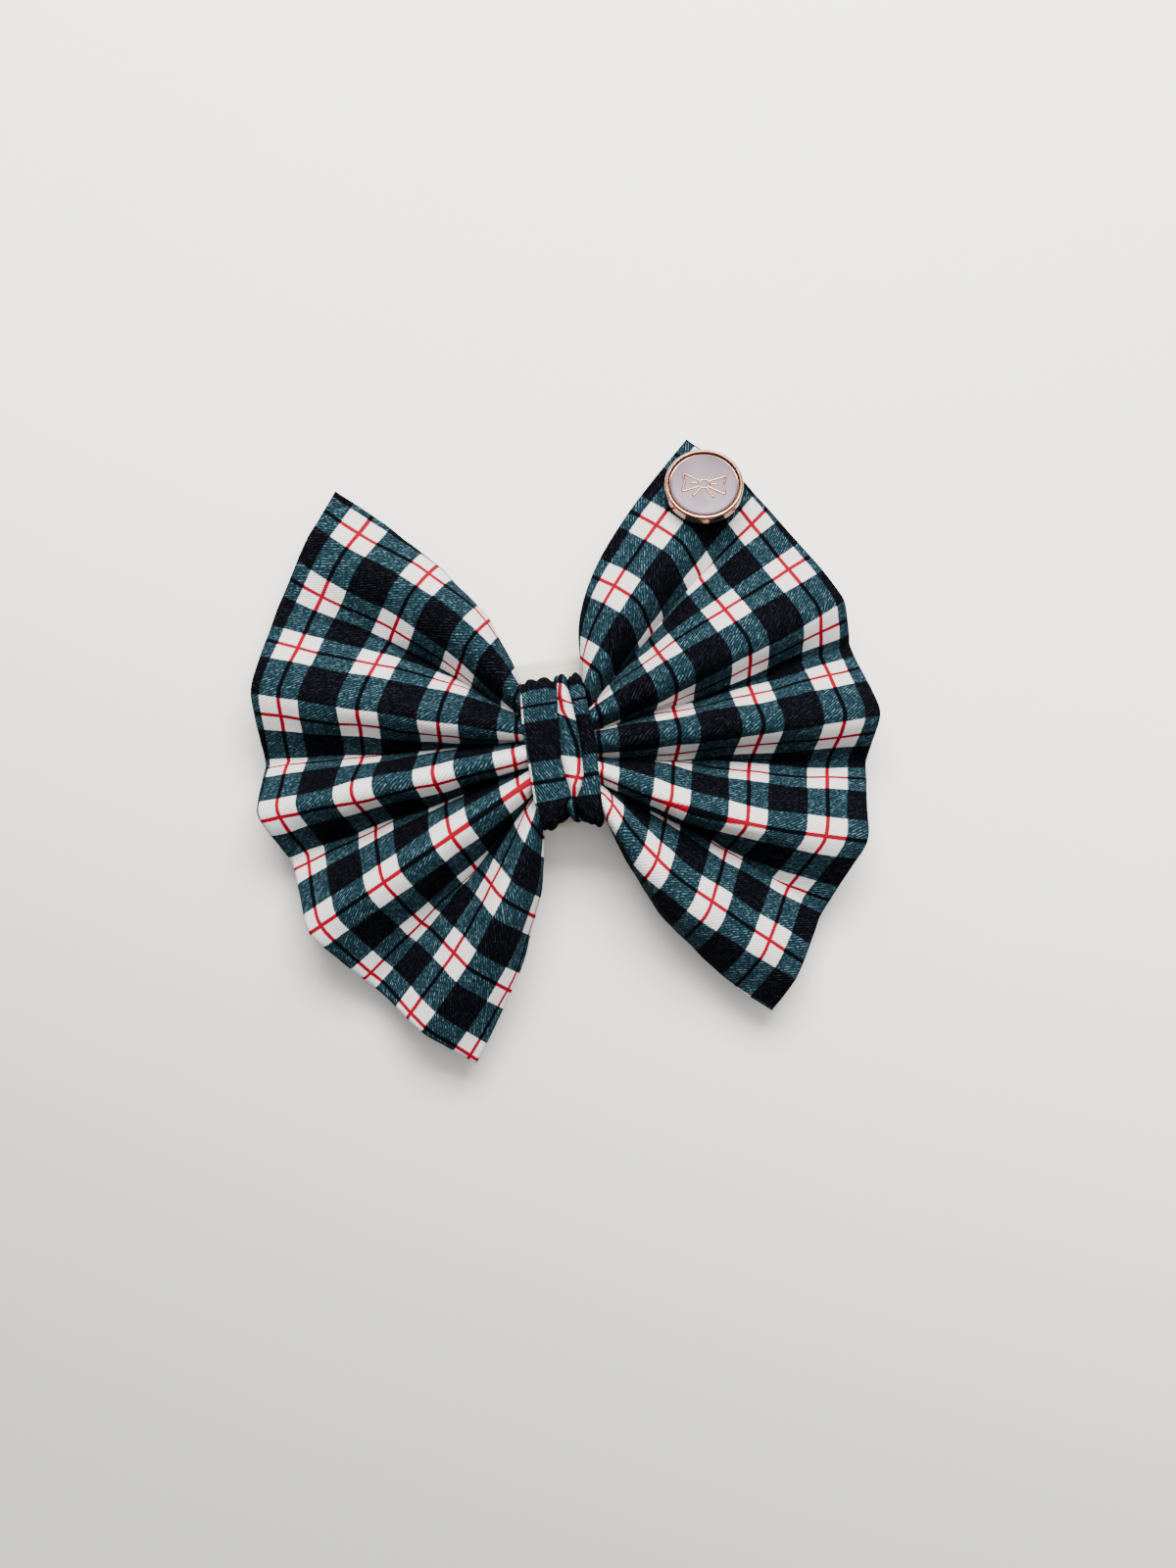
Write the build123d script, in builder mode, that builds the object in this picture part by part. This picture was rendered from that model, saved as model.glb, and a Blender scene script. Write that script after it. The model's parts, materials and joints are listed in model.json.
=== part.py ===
"""Pleated fabric hair bow on a wide elastic loop, with an enamel pin badge on one wing tip.

Frame, in millimetres: the bow lies on its back. +Z points out of its front, +X runs along the bow from wing
to wing, +Y is up the knot. The origin is on the plane that the elastic loop rests on, behind the knot.
"""

import math
import os

from build123d import *

# ---- Driving dimensions -------------------------------------------------------------------------------------
WAIST_HALF = 7.4  # the pleats run straight through the knot between x = -WAIST_HALF and +WAIST_HALF
FABRIC_Z = 0.65  # one cloth layer, measured along Z
INTERFACING_Z = 0.40  # the stiffener between the two cloth layers, along Z
LAYER_GAP = 0.04  # between the stiffener and each cloth layer
INTERFACING_INSET = 0.96  # the stiffener stops at this share of each outer fold length, inside the seam
SEAM_SPAN = (0.975, 0.985)  # where the seam thread runs, as shares of the outer fold length
SEAM_HALF_Z = 0.14

KNOT_HALF_X = 7.1  # half the knot's width
KNOT_HALF_Y = 15.6  # half the knot's height
KNOT_Z = (9.6, 24.4)  # back and front of the knot
WRAP_THICKNESS = 1.3
WRAP_CORNER = 5.6
WRAP_FOLDS = ((-3.3, 7.6), (2.05, 3.7), (5.3, 3.6))  # (middle x, width) of the three lengthwise folds

GATHER_THREAD_R = 0.24
GATHER_TURNS = 5
GATHER_PITCH = 1.1
GATHER_HALF_Y = 13.8
GATHER_Z = (11.15, 22.85)
GATHER_CORNER = 4.2

STRAP_WIDTH = 39.0
STRAP_MIDDLE_Y = 2.3
STRAP_THICKNESS = 1.3
STRAP_HALF_LENGTH = 36.0
STRAP_HEIGHT = 9.5
STRAP_OVERLAP = 24.0  # length of the sewn double part behind the knot
STRAP_LAP_GAP = 0.06

STITCH_R = 0.22
STITCH_HOLE_R = 0.29
STITCH_CORNER = 0.35
STITCH_CLEARANCE = 0.05
SEAM_STITCH_HALF = 1.3
SEAM_STITCH_COUNT = 9
SEAM_STITCH_ROWS_X = (-9.0, 9.0)
TACK_STITCH_HALF = 1.2
TACK_STITCHES = ((-3.3, -8.0), (-3.3, 8.0), (2.05, -8.0), (2.05, 8.0))  # (x, y)
TACK_BITE = 0.75  # how deep a tack stitch goes into the wrap
CLOSING_STITCHES_X = (-5.6, -3.3, -1.2, 2.05, 5.3)
CLOSING_STITCH_LENGTH = 3.0
CLOSING_SLIT = 0.2  # between the two ends of the wrap, behind the knot

BADGE_RADIUS = 9.0
BADGE_THICKNESS = 3.6
BADGE_RIM = 0.75
ENAMEL_DEPTH = 0.7
ENAMEL_BELOW_RIM = 0.35
BADGE_CENTRE = (41.3, 54.2, 16.3)  # middle of the badge's back, beside the first ridge of the right wing
BADGE_TILT = 22.0  # degrees from the bow's front
BADGE_HEADING = 81.0  # degrees from +X, the way the badge leans
POST_RADIUS = 0.55
POST_LENGTH = 9.4
POST_TIP = 1.0
POST_HOLE_RADIUS = 0.62
CLUTCH_DROP = 4.0  # from the badge's back to the clutch's front
CLUTCH_FLANGE = (3.6, 1.2)  # radius, thickness
CLUTCH_STEM = (2.5, 2.8)
CLUTCH_BORE = 0.60

# ---- Folds --------------------------------------------------------------------------------------------------
# Each wing has eleven fold lines, from its top edge to its bottom edge: edge, ridge, valley, ridge ... ridge, edge.
# At the waist the two wings share them: (y, z) of the cloth's middle.
WAIST_FOLDS = (
    (13.4, 15.6),
    (12.0, 20.4),
    (8.6, 12.4),
    (6.4, 21.6),
    (4.0, 12.4),
    (1.2, 21.6),
    (-2.2, 12.4),
    (-5.0, 21.6),
    (-7.8, 12.4),
    (-12.0, 20.4),
    (-13.4, 15.6),
)
# Half-way along a wing, and at its outer edge: (x, y, z) of the cloth's middle.
LEFT_MIDDLE = (
    (-18.0, 41.5, 15.5),
    (-22.5, 34.5, 23.0),
    (-33.5, 29.5, 11.4),
    (-37.0, 16.0, 24.5),
    (-38.5, 6.5, 11.4),
    (-39.0, -2.0, 25.0),
    (-38.5, -8.5, 11.4),
    (-34.5, -18.0, 24.5),
    (-28.0, -27.0, 11.4),
    (-24.0, -39.5, 22.5),
    (-14.0, -39.5, 14.5),
)
LEFT_END = (
    (-42.0, 67.5, 10.5),
    (-50.0, 58.5, 12.5),
    (-60.0, 43.0, 11.5),
    (-68.5, 25.0, 17.0),
    (-68.5, 8.5, 8.0),
    (-71.5, -3.0, 17.5),
    (-66.0, -14.5, 8.0),
    (-63.5, -32.0, 17.0),
    (-51.5, -47.0, 8.5),
    (-41.5, -59.0, 14.0),
    (-31.0, -67.5, 9.5),
)
RIGHT_MIDDLE = (
    (14.0, 40.5, 15.5),
    (25.5, 34.0, 23.0),
    (31.5, 30.5, 11.4),
    (35.5, 17.0, 24.5),
    (38.0, 8.0, 11.4),
    (41.5, 0.5, 25.0),
    (39.5, -8.0, 11.4),
    (36.5, -20.5, 24.5),
    (33.0, -26.5, 11.4),
    (24.5, -38.5, 22.5),
    (19.5, -43.5, 14.5),
)
RIGHT_END = (
    (39.0, 66.5, 11.0),
    (48.5, 58.0, 12.2),
    (56.5, 46.5, 12.0),
    (69.5, 24.5, 16.0),
    (69.5, 14.5, 9.0),
    (73.5, -2.0, 17.5),
    (69.0, -13.5, 8.0),
    (65.5, -31.5, 17.0),
    (53.0, -46.5, 9.0),
    (45.5, -59.5, 13.0),
    (38.5, -66.5, 9.5),
)


def along(start, end, share):
    """The point at that share of the way from start to end."""
    return tuple(a + (b - a) * share for a, b in zip(start, end))


def fold_section(start, end, low, high):
    """A thin upright strip of cloth along one straight stretch of fold line."""
    run_x, run_y = end[0] - start[0], end[1] - start[1]
    run = math.hypot(run_x, run_y)
    upright = Plane(origin=(start[0], start[1], 0), x_dir=(run_x, run_y, 0), z_dir=(run_y, -run_x, 0))
    with BuildSketch(upright) as section:
        Polygon(
            (0, start[2] + low),
            (run, end[2] + low),
            (run, end[2] + high),
            (0, start[2] + high),
            align=None,
        )
    return section.sketch


def pleats(starts, ends, low, high):
    """Adds the pleated cloth between two rows of fold points to the part being built."""
    sections = [fold_section(start, end, low, high) for start, end in zip(starts, ends)]
    loft(sections, ruled=True)


def pleated_layer(low, high, reach=1.0):
    """Adds a whole layer of the bow: the gathered waist, and both wings out to that share of their outer half."""
    outline = [(y, z + high) for y, z in WAIST_FOLDS] + [(y, z + low) for y, z in reversed(WAIST_FOLDS)]
    with BuildSketch(Plane.YZ) as waist:
        Polygon(*outline, align=None)
    extrude(waist.sketch, amount=WAIST_HALF, both=True)
    for side, middles, outer in ((-1, LEFT_MIDDLE, LEFT_END), (1, RIGHT_MIDDLE, RIGHT_END)):
        roots = [(side * WAIST_HALF, y, z) for y, z in WAIST_FOLDS]
        ends = [along(m, e, reach) for m, e in zip(middles, outer)]
        pleats(roots, middles, low, high)
        pleats(middles, ends, low, high)


def badge_plane():
    """The plane of the badge's back, resting on the first pleat of the right wing."""
    lean = math.radians(BADGE_TILT)
    heading = math.radians(BADGE_HEADING)
    normal = Vector(math.cos(heading) * math.sin(lean), math.sin(heading) * math.sin(lean), math.cos(lean))
    return Plane(origin=BADGE_CENTRE, x_dir=(1, 0, -normal.X / normal.Z), z_dir=normal)


BADGE = badge_plane()


def post_hole():
    """Cuts the badge post's way through the layer being built."""
    with BuildSketch(BADGE.offset(-POST_LENGTH / 2)) as hole:
        Circle(POST_HOLE_RADIUS)
    extrude(hole.sketch, amount=POST_LENGTH / 2, both=True, mode=Mode.SUBTRACT)


def upright_loop(x, middle_y, half_y, low_z, high_z, corner):
    """A closed path with rounded corners, standing across the bow in the plane at that x."""
    with BuildSketch(Plane.YZ.offset(x)) as loop:
        with Locations((middle_y, (low_z + high_z) / 2)):
            RectangleRounded(2 * half_y, high_z - low_z, corner)
    return loop.sketch.faces()[0].outer_wire()


def thread_along(path, radius, mode=Mode.ADD):
    """Adds a round thread along a path to the part being built, or cuts its way."""
    with BuildSketch(Plane(origin=path @ 0, z_dir=path % 0)) as section:
        Circle(radius)
    sweep(section.sketch, path=path, mode=mode)


# ---- The bow's three layers ---------------------------------------------------------------------------------
cloth_inner = INTERFACING_Z / 2 + LAYER_GAP
with BuildPart() as bow_front_layer:
    pleated_layer(cloth_inner, cloth_inner + FABRIC_Z)
    post_hole()

with BuildPart() as bow_interfacing:
    pleated_layer(-INTERFACING_Z / 2, INTERFACING_Z / 2, INTERFACING_INSET)
    post_hole()

with BuildPart() as bow_back_layer:
    pleated_layer(-cloth_inner - FABRIC_Z, -cloth_inner)
    post_hole()

# ---- The seam thread inside each wing's outer edge ----------------------------------------------------------
with BuildPart() as edge_seam_thread:
    for middles, outer in ((LEFT_MIDDLE, LEFT_END), (RIGHT_MIDDLE, RIGHT_END)):
        seam_in = [along(m, e, SEAM_SPAN[0]) for m, e in zip(middles, outer)]
        seam_out = [along(m, e, SEAM_SPAN[1]) for m, e in zip(middles, outer)]
        pleats(seam_in, seam_out, -SEAM_HALF_Z, SEAM_HALF_Z)

# ---- Where the elastic loop runs ----------------------------------------------------------------------------
bend_radius = (STRAP_HEIGHT - STRAP_THICKNESS) / 2
bend_x = STRAP_HALF_LENGTH - STRAP_THICKNESS / 2 - bend_radius
run_low = STRAP_THICKNESS / 2
run_high = STRAP_HEIGHT - STRAP_THICKNESS / 2
run_lapped = run_high - STRAP_THICKNESS - STRAP_LAP_GAP
lap_end_x = STRAP_OVERLAP / 2
lap_underside = run_lapped - STRAP_THICKNESS / 2
stitch_low = lap_underside - STITCH_CLEARANCE - STITCH_R

seam_stitch_paths = []
for row_x in SEAM_STITCH_ROWS_X:
    for stitch in range(SEAM_STITCH_COUNT):
        stitch_y = STRAP_MIDDLE_Y + (stitch - (SEAM_STITCH_COUNT - 1) / 2) * STRAP_WIDTH / SEAM_STITCH_COUNT
        stitch_high = STRAP_HEIGHT + STITCH_CLEARANCE + STITCH_R
        seam_stitch_paths.append(
            upright_loop(row_x, stitch_y, SEAM_STITCH_HALF, stitch_low, stitch_high, STITCH_CORNER)
        )

tack_stitch_paths = []
for tack_x, tack_y in TACK_STITCHES:
    tack_high = KNOT_Z[0] + TACK_BITE
    tack_stitch_paths.append(
        upright_loop(tack_x, tack_y, TACK_STITCH_HALF, stitch_low, tack_high, STITCH_CORNER)
    )

# ---- The knot -----------------------------------------------------------------------------------------------
with BuildPart() as gathering_thread:
    for turn in range(GATHER_TURNS):
        turn_x = (turn - (GATHER_TURNS - 1) / 2) * GATHER_PITCH
        thread_along(upright_loop(turn_x, 0, GATHER_HALF_Y, *GATHER_Z, GATHER_CORNER), GATHER_THREAD_R)

wrap_inset = WRAP_THICKNESS / 2
wrap_path = upright_loop(
    0, 0, KNOT_HALF_Y - wrap_inset, KNOT_Z[0] + wrap_inset, KNOT_Z[1] - wrap_inset, WRAP_CORNER - wrap_inset
)
with BuildPart() as knot_wrap:
    with BuildSketch(Plane(origin=wrap_path @ 0, x_dir=(1, 0, 0), z_dir=wrap_path % 0)):
        for fold_x, fold_width in WRAP_FOLDS:
            with Locations((fold_x, 0)):
                SlotOverall(fold_width, WRAP_THICKNESS)
    sweep(path=wrap_path)
    with Locations((0, 0, KNOT_Z[0])):
        Box(2 * KNOT_HALF_X + 1, CLOSING_SLIT, 3 * WRAP_THICKNESS, mode=Mode.SUBTRACT)
    for stitch_x in CLOSING_STITCHES_X:
        with Locations(Location((stitch_x, 0, KNOT_Z[0] + STITCH_R), (90, 0, 0))):
            Cylinder(STITCH_HOLE_R, CLOSING_STITCH_LENGTH + 0.2, mode=Mode.SUBTRACT)
    for tack_path in tack_stitch_paths:
        thread_along(tack_path, STITCH_HOLE_R, Mode.SUBTRACT)

with BuildPart() as knot_closing_stitches:
    for stitch_x in CLOSING_STITCHES_X:
        with Locations(Location((stitch_x, 0, KNOT_Z[0] + STITCH_R), (90, 0, 0))):
            Cylinder(STITCH_R, CLOSING_STITCH_LENGTH)

# ---- The elastic loop and the threads that go through it -----------------------------------------------------
with BuildPart() as elastic_strap:
    with BuildSketch(Plane.XZ.offset(-STRAP_MIDDLE_Y)):
        with BuildLine():
            lap = Line((lap_end_x, run_lapped), (-lap_end_x, run_lapped))
            lap_rise = Spline(lap @ 1, (-lap_end_x - 6.0, run_high), tangents=((-1, 0), (-1, 0)))
            left_run = Line(lap_rise @ 1, (-bend_x, run_high))
            left_bend = TangentArc(left_run @ 1, (-bend_x, run_low), tangent=left_run % 1)
            floor_run = Line(left_bend @ 1, (bend_x, run_low))
            right_bend = TangentArc(floor_run @ 1, (bend_x, run_high), tangent=floor_run % 1)
            Line(right_bend @ 1, (-lap_end_x, run_high))
        trace(line_width=STRAP_THICKNESS)
    extrude(amount=STRAP_WIDTH / 2, both=True)
    for stitch_path in seam_stitch_paths + tack_stitch_paths:
        thread_along(stitch_path, STITCH_HOLE_R, Mode.SUBTRACT)

with BuildPart() as strap_seam_stitches:
    for stitch_path in seam_stitch_paths:
        thread_along(stitch_path, STITCH_R)

with BuildPart() as strap_tack_stitches:
    for tack_path in tack_stitch_paths:
        thread_along(tack_path, STITCH_R)

# ---- The badge ----------------------------------------------------------------------------------------------
badge_face = BADGE.offset(BADGE_THICKNESS)
recess_floor = BADGE.offset(BADGE_THICKNESS - ENAMEL_BELOW_RIM - ENAMEL_DEPTH)


def bow_motif(line):
    """A plain two-loop bow drawn in raised lines, lying on the floor of the badge's recess."""
    with BuildSketch(recess_floor) as motif:
        for side in (-1, 1):
            Polygon(
                (side * 0.8, 0.75), (side * 4.7, 2.2), (side * 4.7, -2.2), (side * 0.8, -0.75), align=None
            )
        for side in (-1, 1):
            Polygon(
                (side * 1.7, 0.6),
                (side * (4.7 - line), 2.2 - 1.5 * line),
                (side * (4.7 - line), 1.5 * line - 2.2),
                (side * 1.7, -0.6),
                align=None,
                mode=Mode.SUBTRACT,
            )
        Circle(1.2)
        Circle(1.2 - line, mode=Mode.SUBTRACT)
    return motif.sketch


with BuildPart() as badge_body:
    with BuildSketch(BADGE):
        Circle(BADGE_RADIUS)
    extrude(amount=BADGE_THICKNESS)
    chamfer(badge_body.edges().filter_by(GeomType.CIRCLE), 0.5)
    with BuildSketch(badge_face):
        Circle(BADGE_RADIUS - BADGE_RIM)
    extrude(amount=-(ENAMEL_BELOW_RIM + ENAMEL_DEPTH), mode=Mode.SUBTRACT)
    extrude(bow_motif(0.45), amount=ENAMEL_DEPTH + 0.2)

with BuildPart() as badge_enamel:
    with BuildSketch(recess_floor):
        Circle(BADGE_RADIUS - BADGE_RIM)
    extrude(amount=ENAMEL_DEPTH)
    extrude(bow_motif(0.45), amount=ENAMEL_DEPTH, mode=Mode.SUBTRACT)

with BuildPart() as badge_post:
    with BuildSketch(BADGE):
        Circle(POST_RADIUS)
    extrude(amount=-(POST_LENGTH - POST_TIP))
    with BuildSketch(BADGE.offset(-(POST_LENGTH - POST_TIP))):
        Circle(POST_RADIUS)
    with BuildSketch(BADGE.offset(-POST_LENGTH)):
        Circle(POST_RADIUS * 0.2)
    loft()

clutch_front = BADGE.offset(-CLUTCH_DROP)
with BuildPart() as badge_clutch:
    with BuildSketch(clutch_front):
        Circle(CLUTCH_FLANGE[0])
    extrude(amount=-CLUTCH_FLANGE[1])
    with BuildSketch(clutch_front.offset(-CLUTCH_FLANGE[1])):
        Circle(CLUTCH_STEM[0])
    extrude(amount=-CLUTCH_STEM[1])
    with BuildSketch(clutch_front):
        Circle(CLUTCH_BORE)
    extrude(amount=-(CLUTCH_FLANGE[1] + CLUTCH_STEM[1]), mode=Mode.SUBTRACT)

# ---- Write every piece --------------------------------------------------------------------------------------
PIECES = {
    "bow_front_layer": bow_front_layer,
    "bow_interfacing": bow_interfacing,
    "bow_back_layer": bow_back_layer,
    "edge_seam_thread": edge_seam_thread,
    "gathering_thread": gathering_thread,
    "knot_wrap": knot_wrap,
    "knot_closing_stitches": knot_closing_stitches,
    "elastic_strap": elastic_strap,
    "strap_seam_stitches": strap_seam_stitches,
    "strap_tack_stitches": strap_tack_stitches,
    "badge_body": badge_body,
    "badge_enamel": badge_enamel,
    "badge_post": badge_post,
    "badge_clutch": badge_clutch,
}

os.makedirs("parts", exist_ok=True)
for label, piece in PIECES.items():
    piece.part.label = label
    export_step(piece.part, f"parts/{label}.step")
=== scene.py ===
import json
import math

import bpy
import numpy as np
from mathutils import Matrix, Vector


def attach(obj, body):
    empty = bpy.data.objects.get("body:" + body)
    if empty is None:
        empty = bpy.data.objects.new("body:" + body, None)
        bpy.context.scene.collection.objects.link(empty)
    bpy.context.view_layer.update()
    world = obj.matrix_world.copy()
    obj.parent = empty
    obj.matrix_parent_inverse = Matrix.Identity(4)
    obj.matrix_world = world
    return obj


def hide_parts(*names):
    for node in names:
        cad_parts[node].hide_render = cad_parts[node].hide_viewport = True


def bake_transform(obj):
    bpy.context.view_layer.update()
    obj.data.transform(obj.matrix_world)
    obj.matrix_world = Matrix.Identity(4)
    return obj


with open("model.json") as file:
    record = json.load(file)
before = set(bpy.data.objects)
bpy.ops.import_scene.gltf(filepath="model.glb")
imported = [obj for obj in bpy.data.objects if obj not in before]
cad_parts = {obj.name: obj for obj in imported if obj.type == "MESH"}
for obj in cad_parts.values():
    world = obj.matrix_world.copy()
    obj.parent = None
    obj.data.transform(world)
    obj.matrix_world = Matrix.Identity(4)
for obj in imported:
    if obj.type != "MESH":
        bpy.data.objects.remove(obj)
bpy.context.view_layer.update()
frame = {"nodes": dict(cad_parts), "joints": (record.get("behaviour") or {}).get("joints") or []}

# The object's lengths are millimetres in its own frame until a mesh is made.
# Lights, camera, cloth sizes and the distances inside materials are metres.
MM = 0.001
PLAID = 17.8  # the plaid's repeat

# ---- Small tools -----------------------------------------------------------------------------------------


def smooth_line(points, count, even=True):
    """A natural cubic curve through the points, sampled evenly along its length."""
    p = np.array(points, float)
    if len(p) == 2:
        return p[0] + (p[1] - p[0]) * np.linspace(0, 1, count)[:, None]
    t = np.concatenate([[0], np.cumsum(np.linalg.norm(np.diff(p, axis=0), axis=1))])
    n, h = len(t), np.diff(t)
    a, rhs = np.zeros((n, n)), np.zeros((n, p.shape[1]))
    a[0, 0] = a[-1, -1] = 1
    for i in range(1, n - 1):
        a[i, i - 1], a[i, i], a[i, i + 1] = h[i - 1], 2 * (h[i - 1] + h[i]), h[i]
        rhs[i] = 6 * ((p[i + 1] - p[i]) / h[i] - (p[i] - p[i - 1]) / h[i - 1])
    m = np.linalg.solve(a, rhs)

    def at(x):
        i = np.clip(np.searchsorted(t, x, side="right") - 1, 0, n - 2)
        hi, lo, up = h[i][:, None], (x - t[i])[:, None], (t[i + 1] - x)[:, None]
        return (
            m[i] * up**3 / (6 * hi)
            + m[i + 1] * lo**3 / (6 * hi)
            + (p[i] / hi - m[i] * hi / 6) * up
            + (p[i + 1] / hi - m[i + 1] * hi / 6) * lo
        )

    fine = at(np.linspace(0, t[-1], 600))
    if not even:
        return fine
    run = np.concatenate([[0], np.cumsum(np.linalg.norm(np.diff(fine, axis=0), axis=1))])
    where = np.interp(np.linspace(0, run[-1], count), run, np.linspace(0, t[-1], 600))
    return at(where)


def lerp(a, b, k):
    return a + (b - a) * k


def ease(x):
    x = np.clip(x, 0, 1)
    return x * x * (3 - 2 * x)


def mesh_object(name, vertices, faces, uv=None, uv_name="plaid", smooth=True):
    """A mesh object from points in millimetres. uv is one pair for each corner of each face, in order."""
    mesh = bpy.data.meshes.new(name)
    mesh.from_pydata((np.asarray(vertices, float) * MM).tolist(), [], [list(map(int, f)) for f in faces])
    if uv is not None:
        layer = mesh.uv_layers.new(name=uv_name)
        layer.data.foreach_set("uv", np.asarray(uv, np.float32).ravel())
    mesh.update()
    if smooth:
        mesh.shade_smooth()
    obj = bpy.data.objects.new(name, mesh)
    bpy.context.scene.collection.objects.link(obj)
    return obj


def grid_faces(rows, columns, start=0, flip=False, wrap=False):
    """Quads over a grid of points numbered row by row; wrap joins the last row to the first."""
    r = np.arange(rows if wrap else rows - 1)
    a, b = np.meshgrid(r, np.arange(columns - 1), indexing="ij")
    a, b = a.ravel(), b.ravel()
    nxt = (a + 1) % rows
    here, there = a * columns + b, nxt * columns + b
    q = np.stack([here, here + 1, there + 1, there], 1) + start
    return q[:, ::-1] if flip else q


def shell(outer, inner):
    """A closed thin shell from two grids of points, with its rim."""
    rows, columns = outer.shape[:2]
    count = rows * columns
    points = np.concatenate([outer.reshape(-1, 3), inner.reshape(-1, 3)])
    edge = (
        [(0, j) for j in range(columns)]
        + [(i, columns - 1) for i in range(1, rows)]
        + [(rows - 1, j) for j in range(columns - 2, -1, -1)]
        + [(i, 0) for i in range(rows - 2, 0, -1)]
    )
    ring = np.array([i * columns + j for i, j in edge])
    nxt = np.roll(ring, -1)
    rim = np.stack([ring, ring + count, nxt + count, nxt], 1)
    return points, np.concatenate([grid_faces(rows, columns), grid_faces(rows, columns, count, True), rim])


def normals_of(grid):
    along = np.gradient(grid, axis=0)
    across = np.gradient(grid, axis=1)
    n = np.cross(along, across)
    return n / np.maximum(np.linalg.norm(n, axis=2, keepdims=True), 1e-9)


def tube(path, radius, closed=False, sides=8, cap=True):
    """Points and faces of a round tube along a path."""
    p = np.asarray(path, float)
    n = len(p)
    d = (np.roll(p, -1, 0) - np.roll(p, 1, 0)) if closed else np.gradient(p, axis=0)
    d /= np.maximum(np.linalg.norm(d, axis=1, keepdims=True), 1e-9)
    side = np.zeros((n, 3))
    first = np.array([0, 0, 1.0]) if abs(d[0][2]) < 0.9 else np.array([1.0, 0, 0])
    s = np.cross(d[0], first)
    for i in range(n):
        s = s - d[i] * (s @ d[i])
        s /= np.linalg.norm(s)
        side[i] = s
    up = np.cross(d, side)
    if closed:
        turn = math.atan2(side[0] @ up[-1], side[0] @ side[-1])
        ang = turn * np.arange(n) / n
        side, up = (
            side * np.cos(ang)[:, None] + up * np.sin(ang)[:, None],
            up * np.cos(ang)[:, None] - side * np.sin(ang)[:, None],
        )
    a = np.linspace(0, 2 * np.pi, sides, endpoint=False)
    r = np.broadcast_to(np.asarray(radius, float), (n,))[:, None, None]
    cos_a, sin_a = np.cos(a)[None, :, None], np.sin(a)[None, :, None]
    pts = p[:, None] + r * (side[:, None] * cos_a + up[:, None] * sin_a)
    faces = []
    for i in range(n if closed else n - 1):
        j = (i + 1) % n
        for k in range(sides):
            m = (k + 1) % sides
            faces.append((i * sides + k, i * sides + m, j * sides + m, j * sides + k))
    if not closed and cap:
        faces.append(tuple(range(sides))[::-1])
        faces.append(tuple((n - 1) * sides + k for k in range(sides)))
    return pts.reshape(-1, 3), faces


def joined(parts):
    """Several (points, faces) as one."""
    points, faces, at = [], [], 0
    for p, f in parts:
        points.append(np.asarray(p, float))
        faces += [tuple(int(i) + at for i in face) for face in f]
        at += len(p)
    return np.concatenate(points), faces


def lathe(profile, segments=96):
    """A closed solid turned from (radius, height) pairs that start and end on the axis."""
    prof = np.array(profile, float)
    body = prof[1:-1]
    a = np.linspace(0, 2 * np.pi, segments, endpoint=False)
    pts = np.stack(
        [
            body[:, 0][:, None] * np.cos(a),
            body[:, 0][:, None] * np.sin(a),
            np.broadcast_to(body[:, 1][:, None], (len(body), segments)),
        ],
        2,
    ).reshape(-1, 3)
    faces = []
    for i in range(len(body) - 1):
        here, there = i * segments, (i + 1) * segments
        for k in range(segments):
            m = (k + 1) % segments
            faces.append((here + k, here + m, there + m, there + k))
    low, high = len(pts), len(pts) + 1
    pts = np.concatenate([pts, [[0, 0, prof[0][1]], [0, 0, prof[-1][1]]]])
    last = (len(body) - 1) * segments
    for k in range(segments):
        m = (k + 1) % segments
        faces.append((low, m, k))
        faces.append((high, last + k, last + m))
    return pts, faces


# ---- Shader tools ----------------------------------------------------------------------------------------


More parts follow.
